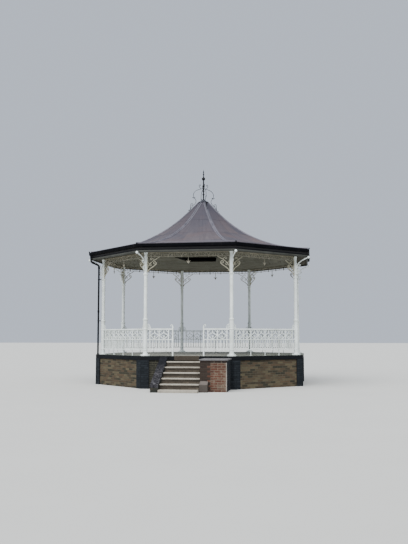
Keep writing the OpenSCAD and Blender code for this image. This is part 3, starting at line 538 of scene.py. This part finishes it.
def layBricks(corner, along, into, length, height, tones=(0, 1), keep=None, rowHeight=None):
    # stretcher bond from a lower corner of a face, every brick with its own tone; the tones are
    # a pair of limits, or a function that gives the pair for a brick's middle and its base
    rows = max(1, round(height / (rowHeight or brickwork["course"])))
    stretch = height / rows / brickwork["course"]
    along, into = Vector(along).normalized(), Vector(into).normalized()
    face = Matrix((along, into, (0, 0, 1))).transposed().to_4x4()
    face.translation = corner
    laid = []
    for row in range(rows):
        start = -brickPitch / 2 if row % 2 else 0.0
        while start < length - brickwork["shortest"]:
            low, high = max(start, 0.0), min(start + brickwork["length"], length)
            start += brickPitch
            if high - low < brickwork["shortest"]:
                continue
            base = row * height / rows
            if keep and not keep(low, high, base, base + height / rows):
                continue
            jitter = shuffle.uniform(-brickwork["jitter"], brickwork["jitter"])
            place = (face @ Matrix.Translation((low, jitter, base))
                     @ Matrix.Diagonal(((high - low) / brickwork["length"], 1, stretch, 1)))
            brick = copyPiece(oneBrick, place)
            dull, bright = tones((low + high) / 2, base) if callable(tones) else tones
            setTone(brick, dull + (bright - dull) * shuffle.random())
            laid.append(brick)
    return laid


oneBrick = modelBrick()
setTone(oneBrick, 0.5)

plinth = {"pierWidth": 0.27, "cornerGap": 0.006, "tones": (0.2, 1.0), "shadedTones": (0.0, 0.12)}
sideReach = kerbFace * math.tan(halfAngle)
panelReach = sideReach - plinth["pierWidth"]
stairs = {"left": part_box("step_treads")[0].x, "right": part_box("step_treads")[1].x,
          "front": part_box("step_treads")[0].y, "top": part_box("step_treads")[1].z,
          "count": 6, "tread": 0.046, "overhang": 0.022}
cheekLow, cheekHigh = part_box("left_cheek_wall")
copingLow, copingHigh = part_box("left_cheek_coping")


def clearOfStairs(low, high, bottom, top):
    # leaves out the bricks that the steps and their flanks hide
    left, right = low - panelReach, high - panelReach
    return not (left > copingLow.x and right < blockHigh.x and top < stairs["top"])


def shadedLeft(middle, base):
    # painted shade: the wall left of the steps gets near black bricks, for the shade of the plants before
    # it
    return plinth["shadedTones"] if middle < panelReach else plinth["tones"]


walls = []
for side in range(8):
    turn = turned(side).to_3x3()
    corner = turn @ Vector((-panelReach, -wallFace, 0))
    walls += layBricks(corner, turn @ Vector((1, 0, 0)), turn @ Vector((0, 1, 0)), 2 * panelReach, kerbLow,
                       shadedLeft if side == 0 else plinth["tones"], clearOfStairs if side == 0 else None)
finishPiece(joinPieces(walls, "plinthBricks"), plinthBrick, "brick")

piers = []
for side in range(8):
    turn = turned(side).to_3x3()
    for start in (-sideReach + plinth["cornerGap"], panelReach):
        corner = turn @ Vector((start, -kerbFace, 0))
        piers += layBricks(corner, turn @ Vector((1, 0, 0)), turn @ Vector((0, 1, 0)),
                           plinth["pierWidth"] - plinth["cornerGap"], kerbLow)
finishPiece(joinPieces(piers, "pierBricks"), tarredBrick, "dark_masonry")

blockSize = blockHigh - blockLow


def blockTones(middle, base):
    # old dark bricks left, red middle, pale right, near black under the coping: painted shade with black
    # paint runs
    if base > blockHigh.z - 2 * blockLook["darkTop"]:
        return blockLook["shadeTones"]
    if middle < blockLook["newFrom"]:
        return blockLook["oldTones"]
    return blockLook["newTones"] if middle < blockLook["paleFrom"] else blockLook["paleTones"]


blockWalls = layBricks(blockLow, (1, 0, 0), (0, 1, 0), blockSize.x, blockHigh.z, blockTones)
blockWalls += layBricks((blockLow.x, blockHigh.y, 0), (0, -1, 0), (1, 0, 0), blockSize.y, blockHigh.z,
                        blockLook["flankTones"])
finishPiece(joinPieces(blockWalls, "blockBricks"), redBrick, "brick")

# a pale fillet of mortar runs up the block's right front corner, pale also as a painted highlight where the
# corner catches the light
fillet = {"width": 0.022, "proud": 0.007, "depth": 0.02, "foot": 0.02, "slice": 0.003, "edge": 0.004}
cornerMortarHighlight = addBlock("cornerMortarHighlight",
                        (blockHigh.x - fillet["width"], blockLow.y - fillet["proud"], fillet["foot"]),
                        (blockHigh.x + fillet["proud"], blockLow.y + fillet["depth"],
                         blockHigh.z - blockLook["darkTop"]))
sliceOff(cornerMortarHighlight, (blockHigh.x - fillet["slice"], blockLow.y - fillet["proud"], 0), (1, -1, 0))
runModifier(cornerMortarHighlight, "BEVEL", width=fillet["edge"], segments=2)
finishPiece(cornerMortarHighlight, paleMortarHighlight, "step_stone")

# the block's right side is laid in the same near black bricks as the piers
blockSide = layBricks((blockHigh.x, blockLow.y, 0), (0, 1, 0), (-1, 0, 0), blockSize.y, blockHigh.z)
finishPiece(joinPieces(blockSide, "blockSideBricks"), tarredBrick, "dark_masonry")

cheekDepth = cheekHigh.y - cheekLow.y
cheekEndTop = copingLow.z
cheekTopGap = 0.004  # between the bricks and the raking stones
cheekWalls = layBricks((cheekLow.x, cheekHigh.y, 0), (0, -1, 0), (1, 0, 0), cheekDepth, cheekHigh.z)
cheekWalls += layBricks((cheekHigh.x, cheekLow.y, 0), (0, 1, 0), (-1, 0, 0), cheekDepth, cheekHigh.z)
cheekWalls += layBricks((cheekLow.x, cheekLow.y, 0), (1, 0, 0), (0, 1, 0), cheekHigh.x - cheekLow.x,
                        cheekEndTop)
cheekBricks = joinPieces(cheekWalls, "cheekBricks")
rake = Vector((0, cheekHigh.z - cheekEndTop, -cheekDepth)).normalized()
sliceOff(cheekBricks, (0, cheekHigh.y, cheekHigh.z - cheekTopGap), -rake)
finishPiece(cheekBricks, cheekBrick, "brick")


riserLook = {"sideGap": 0.002, "course": 0.063, "shadeFrom": 0.03, "shadeTones": (0.0, 0.35),
             "tones": (0.3, 0.9)}


def shadedTops(middle, base):
    # painted shade: the upper course, under the nosing, gets darker bricks
    return riserLook["shadeTones"] if base > riserLook["shadeFrom"] else riserLook["tones"]


rise = floorTop - stairs["top"]
going = (-kerbFace - stairs["front"]) / stairs["count"]
risers = []
for step in range(1, stairs["count"]):
    top = floorTop - step * rise - stairs["tread"]
    out = -kerbFace - step * going + stairs["overhang"]
    corner = (stairs["left"] + riserLook["sideGap"], out, top - rise + stairs["tread"])
    risers += layBricks(corner, (1, 0, 0), (0, 1, 0),
                        stairs["right"] - stairs["left"] - 2 * riserLook["sideGap"],
                        rise - stairs["tread"], shadedTops, rowHeight=riserLook["course"])
finishPiece(joinPieces(risers, "riserBricks"), riserBrick, "riser_brick")
bpy.data.objects.remove(oneBrick)
print("brickwork laid")


# Stones: worn treads and copings take the place of the frame's plain ones

stoneWork = {"shrink": 0.0015, "edge": 0.008, "copingEdge": 0.012, "stubEdge": 0.014, "wear": 0.004,
             "grain": 0.12, "cuts": 5, "tuck": 0.0004, "halfJoint": 0.003, "rakingStones": 2, "tall": 2.0}
shrink = stoneWork["shrink"]
wearCloud = bpy.data.textures.new("wearCloud", "CLOUDS")
wearCloud.noise_scale = stoneWork["grain"]


def insetBox(name):
    # the plain stone's box, a hair smaller at the left, front, right and top
    low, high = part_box(name)
    return low + Vector((shrink, shrink, 0)), high - Vector((shrink, 0, shrink))


def cutStone(piece, edge=stoneWork["edge"]):
    runModifier(piece, "BEVEL", width=edge, segments=2, limit_method="ANGLE")
    subdivideAll(piece, stoneWork["cuts"])
    runModifier(piece, "DISPLACE", texture=wearCloud, texture_coords="GLOBAL", mid_level=1.0,
                strength=stoneWork["wear"])
    smoothFaces(piece, 35)
    return piece


treads = []
for step in range(1, stairs["count"] + 1):
    top = floorTop - step * rise
    low = top - stairs["tread"] if step < stairs["count"] else 0
    front = -kerbFace - step * going
    back = front + going + stairs["overhang"] - stoneWork["tuck"] if step > 1 else -wallFace
    tread = addBlock("tread", (stairs["left"] + shrink, front + shrink, low + (shrink if low else 0)),
                     (stairs["right"] - shrink, back, top - shrink))
    treads.append(cutStone(tread))
finishPiece(joinPieces(treads, "wornTreads"), treadStone, "step_stone", "step_treads")

coping = addBlock("blockCoping", *insetBox("right_block_coping"))
finishPiece(cutStone(coping, stoneWork["copingEdge"]), blockStone, "step_stone", "right_block_coping")

copings = []
span = (copingHigh.y - copingLow.y) / stoneWork["rakingStones"]
for part in range(stoneWork["rakingStones"]):
    back = copingHigh.y - part * span
    stone = addBlock("cheekCoping", (copingLow.x + shrink, back - span + stoneWork["halfJoint"], 0),
                     (copingHigh.x - shrink, back - stoneWork["halfJoint"], stoneWork["tall"]))
    sliceOff(stone, (0, copingHigh.y, copingHigh.z - shrink), -rake)
    sliceOff(stone, (0, cheekHigh.y, cheekHigh.z), rake)
    copings.append(cutStone(stone, stoneWork["copingEdge"]))
finishPiece(joinPieces(copings, "cheekCopings"), rakingStone, "raking_stone", "left_cheek_coping")

stubLow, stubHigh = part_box("right_stub_stone")
stubFall = 0.103  # from the block to the stone's low end
stub = addBlock("stub", *insetBox("right_stub_stone"))
slope = Vector((0, -stubFall, stubHigh.y - stubLow.y)).normalized()
sliceOff(stub, (0, stubHigh.y, stubHigh.z - shrink), slope)
finishPiece(cutStone(stub, stoneWork["stubEdge"]), stubStone, "step_stone", "right_stub_stone")
print("stones cut")


# Ceiling: narrow boards parallel to each side, in two rings either side of the beam

ceilingWork = {"board": 0.105, "gap": 0.008, "thick": 0.012, "edge": 0.003, "mitre": 0.002, "seed": 5,
               "spare": 0.1, "hatchGap": 0.002, "insideBeam": 0.131, "outsideBeam": 0.001,
               "insideFascia": 0.031}


def boardRing(name, inner, outer):
    count = round((outer - inner) / ceilingWork["board"])
    pitch = (outer - inner) / count
    reach = outer * math.tan(halfAngle) + ceilingWork["spare"]
    first = addBlock("board", (-reach, -outer + ceilingWork["gap"] / 2, ceilingLow - ceilingWork["thick"]),
                     (reach, -outer + pitch - ceilingWork["gap"] / 2, ceilingLow))
    runModifier(first, "BEVEL", width=ceilingWork["edge"], segments=1)
    mixer = random.Random(ceilingWork["seed"])
    sides = []
    for side in range(8):
        boards = []
        for row in range(count):
            board = copyPiece(first, Matrix.Translation((0, row * pitch, 0)))
            setTone(board, mixer.random())
            boards.append(board)
        ring = joinPieces(boards, "ring")
        mitreEnds(ring, ceilingWork["mitre"])
        ring.data.transform(turned(side))
        sides.append(ring)
    bpy.data.objects.remove(first)
    return joinPieces(sides, name)


def hatchCutter():
    # the open hatch as a wedge, its slanting sides read off the frame's inner corners
    inner = max(v.co.x for v in nodes["ceiling_frame"].data.vertices if v.co.y > hatchHigh.y - 0.001)
    gap = ceilingWork["gap"] / 2
    spare = ceilingWork["spare"]
    wedge = addBlock("cutter", (hatchLow.x - spare, hatchLow.y - gap, ceilingLow - spare),
                     (hatchHigh.x + spare, hatchHigh.y + gap, ceilingLow + spare))
    for side in (-1, 1):
        normal = Vector((side * (hatchHigh.y - hatchLow.y), hatchHigh.x - inner, 0)).normalized()
        sliceOff(wedge, Vector((side * inner, hatchHigh.y, 0)) + normal * gap, normal)
    return wedge


innerBoards = boardRing("innerCeiling", ceilingWork["hatchGap"] - hatchHigh.y,
                        beamFace - ceilingWork["insideBeam"])
cutter = hatchCutter()
runModifier(innerBoards, "BOOLEAN", object=cutter, operation="DIFFERENCE", solver="EXACT")
bpy.data.objects.remove(cutter)
finishPiece(innerBoards, ceilingPaint, "cream_timber")
outerBoards = boardRing("outerCeiling", beamFace + ceilingWork["outsideBeam"],
                        fasciaFace - ceilingWork["insideFascia"])
finishPiece(outerBoards, shadedSoffitPaint, "cream_timber")

centreWork = {"thick": 0.024, "edge": 0.008}
centreBoard = addRound("centreBoard", -hatchHigh.y / math.cos(halfAngle),
                       ceilingLow - centreWork["thick"], ceilingLow, 8)
centreBoard.data.transform(turned(0.5))
runModifier(centreBoard, "BEVEL", width=centreWork["edge"], segments=3, limit_method="ANGLE")
finishPiece(centreBoard, beamPaint, "cream_timber")
print("ceiling boarded")


# Ironwork: nuts hold down the column bases

nutWork = {"acrossCorners": 0.03, "high": 0.014, "washer": 0.018, "washerThick": 0.004, "bolt": 0.007,
           "boltHigh": 0.01, "boltSunk": 0.002, "edge": 0.002, "circle": 0.135, "flange": 0.028}
columnRadius = columnLine / math.cos(halfAngle)


def modelNut():
    # washer, nut with eased corners, and the bolt's end
    base = floorTop + nutWork["flange"]
    washer = addRound("washer", nutWork["washer"], base, base + nutWork["washerThick"])
    nutBase = base + nutWork["washerThick"]
    nut = addRound("nut", nutWork["acrossCorners"] / 2, nutBase, nutBase + nutWork["high"], 6)
    runModifier(nut, "BEVEL", width=nutWork["edge"], segments=1)
    nutTop = nutBase + nutWork["high"]
    bolt = addRound("bolt", nutWork["bolt"], nutTop - nutWork["boltSunk"], nutTop + nutWork["boltHigh"], 12)
    runModifier(bolt, "BEVEL", width=nutWork["edge"], segments=1, limit_method="ANGLE")
    return joinPieces([washer, nut, bolt], "nut")


oneNut = modelNut()
nuts = []
for column in range(8):
    stand = turned(column + 0.5) @ Matrix.Translation((0, -columnRadius, 0))
    for quarter in range(4):
        around = Matrix.Rotation(math.radians(90 * quarter + 45), 4, "Z")
        outwards = Matrix.Translation((nutWork["circle"], 0, 0))
        nuts.append(copyPiece(oneNut, stand @ around @ outwards))
bpy.data.objects.remove(oneNut)
finishPiece(joinPieces(nuts, "baseNuts"), whiteIron, "white_iron")
print("nuts set")


# Roof: sheets in bands with laps between them, flashings and rolled lead on the hips

roofWork = {"top": 0.2, "laps": [0.97, 1.79, 2.72, 3.62], "edgeGap": 0.006, "lapWidth": 0.04,
            "lapThick": 0.007, "lapTone": 0.4, "sheetThick": 0.003, "jointGap": 0.007, "rollClear": 0.032,
            "spare": 0.05, "lift": 0.0005, "drop": 12.0, "seed": 21}


def layOnRoof(piece, thick):
    # drops a flat plan shape onto the slopes and gives it its thickness
    runModifier(piece, "SHRINKWRAP", target=nodes["roof_covering"], wrap_method="PROJECT",
                use_project_z=True, use_negative_direction=True, use_positive_direction=False,
                offset=roofWork["lift"])
    runModifier(piece, "SOLIDIFY", thickness=thick, offset=1.0)
    makeActive(piece)
    bpy.ops.object.mode_set(mode="EDIT")
    bpy.ops.mesh.select_all(action="SELECT")
    bpy.ops.mesh.normals_make_consistent(inside=False)
    bpy.ops.object.mode_set(mode="OBJECT")
    return piece


def planStrip(name, low, high, across, along):
    deselect()
    middle = ((low[0] + high[0]) / 2, (low[1] + high[1]) / 2, roofWork["drop"])
    bpy.ops.mesh.primitive_grid_add(x_subdivisions=across, y_subdivisions=along, size=1, location=middle)
    piece = bpy.context.object
    piece.name = name
    piece.scale = (high[0] - low[0], high[1] - low[1], 1)
    settle(piece)
    return piece


def cutSheets(inner, outer, joints):
    # one band of a face, cut along slanting joints that run from their top to their foot
    reach = outer * math.tan(halfAngle) + roofWork["spare"]
    strip = planStrip("sheet", (-reach, -outer), (reach, -inner), 16, 8)
    mitreEnds(strip, roofWork["rollClear"], fill=False)
    sheets = []
    for first, last in zip([None] + joints, joints + [None]):
        sheet = copyPiece(strip, Matrix())
        for joint, side in ((first, -1), (last, 1)):
            if joint:
                top, foot = Vector(joint[0]).to_3d(), Vector(joint[1]).to_3d()
                across = Vector((top.y - foot.y, foot.x - top.x, 0)).normalized() * side
                sliceOff(sheet, top - across * roofWork["jointGap"] / 2, across, fill=False)
        sheets.append(layOnRoof(sheet, roofWork["sheetThick"]))
    bpy.data.objects.remove(strip)
    return sheets


bands = [roofWork["top"]] + roofWork["laps"] + [roofEdge - roofWork["edgeGap"]]
roofJoints = {"left": ((-0.27, -0.97), (-0.435, -3.95)), "middle": ((0, -0.97), (0.45, -3.95)),
              "outerLeft": ((-0.75, -2.3), (-1.15, -3.95)), "outerRight": ((0.82, -2.3), (1.16, -3.95))}
bandJoints = [[], ["left", "middle"], ["left", "middle"], ["outerLeft", "left", "middle"],
              ["outerLeft", "left", "middle", "outerRight"]]
faceSheets = []
for inner, outer, names in zip(bands, bands[1:], bandJoints):
    faceSheets += cutSheets(inner, outer, [roofJoints[name] for name in names])
roofShuffle = random.Random(roofWork["seed"])
sheets = []
for side in range(8):
    flip = Matrix.Diagonal((-1 if side % 2 else 1, 1, 1, 1))
    for sheet in faceSheets:
        sheets.append(copyPiece(sheet, turned(side) @ flip))
        setTone(sheets[-1], roofShuffle.random())
for sheet in faceSheets:
    bpy.data.objects.remove(sheet)
finishPiece(joinPieces(sheets, "roofSheets"), roofSheet, "roof_sheet")

laps = []
for apothem in roofWork["laps"]:
    reach = apothem * math.tan(halfAngle) + roofWork["spare"]
    lap = planStrip("lap", (-reach, -apothem), (reach, -apothem + roofWork["lapWidth"]), 2, 3)
    mitreEnds(lap, roofWork["rollClear"], fill=False)
    setTone(lap, roofWork["lapTone"])
    laps.append(layOnRoof(lap, roofWork["lapThick"]))
finishPiece(aroundSides(joinPieces(laps, "lap"), "roofLaps"), roofSheet, "roof_sheet")
print("roof sheeted")

hipWork = {"radius": 0.025, "lift": 0.008, "steps": 28, "start": 0.212, "endGap": 0.008, "aside": 0.0015,
           "wingInner": 0.012, "wing": 0.062, "wingThick": 0.010}
hipTurn = Matrix.Rotation(halfAngle, 4, "Z")


def hipLine(count):
    # points along one hip, turned over +X and read off the frame's roof by dropping rays beside its ridge
    reach = roofEdge / math.cos(halfAngle) - hipWork["endGap"]
    points = []
    for i in range(count + 1):
        radius = hipWork["start"] + (reach - hipWork["start"]) * i / count
        spot = hipTurn @ Vector((radius, hipWork["aside"], roofWork["drop"]))
        place = nodes["roof_covering"].ray_cast(spot, (0, 0, -1))[1]
        points.append(Vector((radius, 0, place.z)))
    return points


def sweepRoll(points):
    curve = bpy.data.curves.new("rollPath", "CURVE")
    curve.dimensions = "3D"
    curve.twist_mode = "Z_UP"
    curve.bevel_depth = hipWork["radius"]
    curve.bevel_resolution = 4
    curve.use_fill_caps = True
    spline = curve.splines.new("POLY")
    spline.points.add(len(points) - 1)
    for spot, place in zip(spline.points, points):
        spot.co = (*place, 1)
    roll = bpy.data.objects.new("roll", curve)
    bpy.context.collection.objects.link(roll)
    makeActive(roll)
    bpy.ops.object.convert(target="MESH")
    return bpy.context.object


spine = [point + Vector((0, 0, hipWork["lift"])) for point in hipLine(hipWork["steps"])]
roll = sweepRoll(spine)
wings = []
for side in (-1, 1):
    low, high = sorted((side * hipWork["wingInner"], side * hipWork["wing"]))
    strip = planStrip("wing", (spine[0].x, low), (spine[-1].x, high), hipWork["steps"], 2)
    strip.data.transform(hipTurn)
    for slope in (Vector((1, 0, 0)), Vector((math.cos(2 * halfAngle), math.sin(2 * halfAngle), 0))):
        sliceOff(strip, slope * (roofEdge - roofWork["edgeGap"]), slope, fill=False)
    layOnRoof(strip, hipWork["wingThick"])
    strip.data.transform(hipTurn.inverted())
    wings.append(strip)
hip = joinPieces([roll] + wings, "hip")
hip.data.transform(hipTurn)
smoothFaces(hip, 40)
finishPiece(aroundSides(hip, "leadedHips"), leadSheet, "lead", "hip_rolls")
print("hips leaded")


# Ground, light and camera

studio = {"floorSize": 400.0, "floor": linear(188, 188, 184), "floorClouds": linear(182, 182, 178),
          "sky": linear(205, 214, 228), "skyStrength": 1.0}
deselect()
bpy.ops.mesh.primitive_plane_add(size=studio["floorSize"], location=(0, 0, 0))
ground = bpy.context.object
ground.name = "studioFloor"
groundMake = Recipe("studioFloor", 0.9, 0, 0.2)
groundColour = groundMake.mix(groundMake.noise(0.7, 3), studio["floor"], studio["floorClouds"])
ground.data.materials.append(groundMake.finish(groundColour))

world = bpy.context.scene.world or bpy.data.worlds.new("sky")
bpy.context.scene.world = world
world.use_nodes = True
world.node_tree.nodes["Background"].inputs["Color"].default_value = studio["sky"]
world.node_tree.nodes["Background"].inputs["Strength"].default_value = studio["skyStrength"]

# One wide soft light from the front left stands in for a bright overcast sky
lights = {"from": (-4, -17, 25), "strength": 6.4, "spread": 75}
deselect()
bpy.ops.object.light_add(type="SUN", location=lights["from"])
softLight = bpy.context.object
softLight.data.energy = lights["strength"]
softLight.data.angle = math.radians(lights["spread"])
softLight.rotation_euler = (-Vector(lights["from"])).to_track_quat("-Z", "Y").to_euler()

# The camera stands where the photograph was taken; its focal length and frame are in pixels
view = {"place": (4.083, -27.735, 1.689), "pitch": 5.08, "yaw": 0.037, "focal": 736.5, "frame": 544,
        "sensor": 36}
bpy.ops.object.camera_add(location=view["place"])
camera = bpy.context.object
camera.data.sensor_width = view["sensor"]
camera.data.lens = view["focal"] / view["frame"] * view["sensor"]
towards = math.atan2(-view["place"][0], -view["place"][1])
camera.rotation_euler = (math.radians(90 + view["pitch"]), 0, -towards - math.radians(view["yaw"]))
camera.data.clip_end = 1000
bpy.context.scene.camera = camera
print("studio set")
